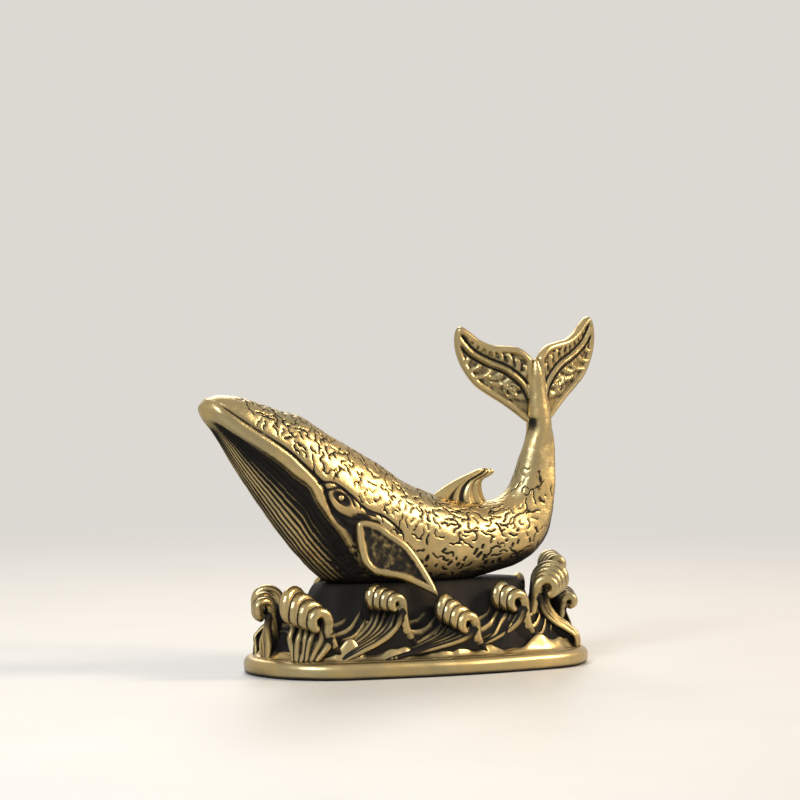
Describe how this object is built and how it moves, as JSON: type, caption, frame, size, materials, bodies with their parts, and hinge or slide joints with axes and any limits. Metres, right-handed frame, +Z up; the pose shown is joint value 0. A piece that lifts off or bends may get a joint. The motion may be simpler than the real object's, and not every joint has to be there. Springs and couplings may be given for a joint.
{
  "type": "whale figurine",
  "caption": "Small cast brass whale rising from curling waves on an oval plinth, tail raised, for a desk or shelf.",
  "frame": {"origin": "middle of the flat underside of the plinth", "axes": "+Z up; the whale's snout points along -X and its left side faces -Y"},
  "size_m": [0.0459, 0.0192, 0.0356],
  "materials": {
    "whale_brass": "antique cast brass, polished high spots over a near-black patina in the engraving",
    "wave_brass": "antique cast brass, bright ribs and deep dark hollows",
    "plinth_brass": "hand-worn smooth brass with light scratches",
    "peg_brass": "plain turned brass, hidden inside"
  },
  "bodies": {
    "root": {"plinth": "plinth_brass", "sea_swell": "wave_brass", "whale_body": "whale_brass", "lower_jaw": "whale_brass", "dorsal_fin": "whale_brass", "flipper_left": "whale_brass", "flipper_right": "whale_brass", "flukes": "whale_brass", "eye_beads": "whale_brass", "belly_peg": "peg_brass", "crest_bow_far": "wave_brass", "crest_bow_left": "wave_brass", "crest_fore_left": "wave_brass", "crest_mid_left": "wave_brass", "crest_aft_left": "wave_brass", "crest_stern_left": "wave_brass", "crest_stern_far": "wave_brass", "crest_stern_low": "wave_brass", "crest_bow_right": "wave_brass", "crest_fore_right": "wave_brass", "crest_mid_right": "wave_brass", "crest_aft_right": "wave_brass", "crest_stern_right": "wave_brass"}
  },
  "joints": []
}
